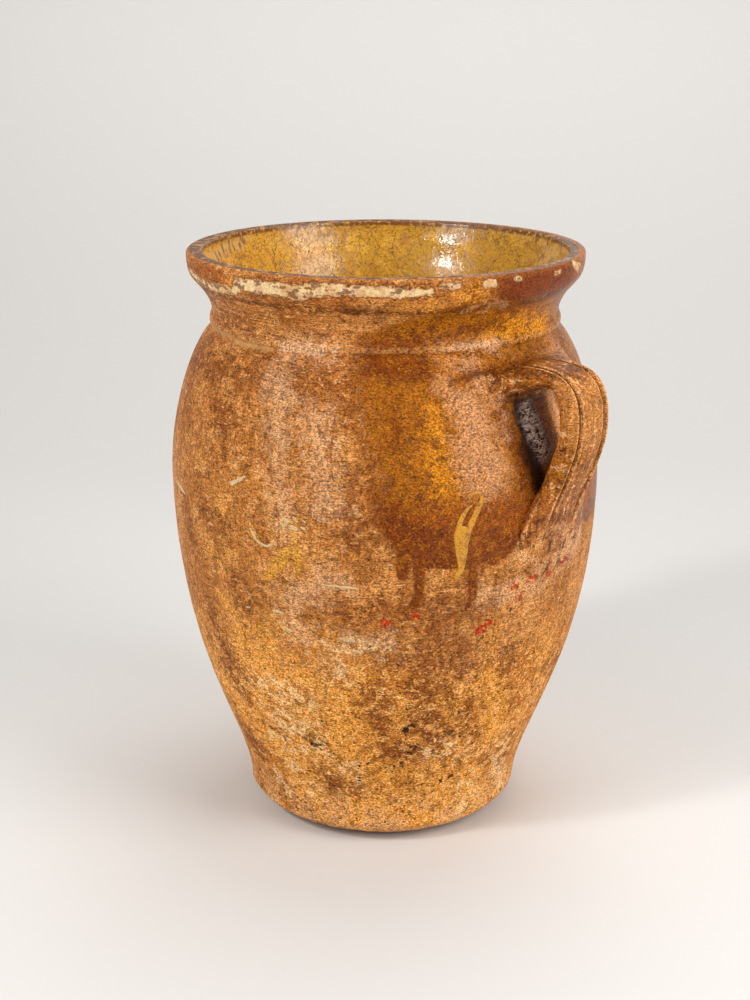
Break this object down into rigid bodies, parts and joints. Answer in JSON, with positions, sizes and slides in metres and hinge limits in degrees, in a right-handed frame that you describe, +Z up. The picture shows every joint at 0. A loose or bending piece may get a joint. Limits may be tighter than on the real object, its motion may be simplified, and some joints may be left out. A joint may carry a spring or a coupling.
{
  "type": "terracotta storage jar",
  "caption": "Turned terracotta storage jar with a flared rim, a full belly, a narrow foot and a ribbed strap handle on the shoulder.",
  "frame": {"origin": "centre of the foot, on the plane the jar rests on", "axes": "+Z up through the mouth, +X from the jar's axis towards the handle, +Y across the handle"},
  "size_m": [0.245, 0.222, 0.3],
  "materials": {
    "terracotta": "worn low-fired earthenware, half matt, with patches of thin amber glaze outside and a crackled yellow glaze inside"
  },
  "bodies": {
    "root": {"jar": "terracotta"}
  },
  "joints": []
}
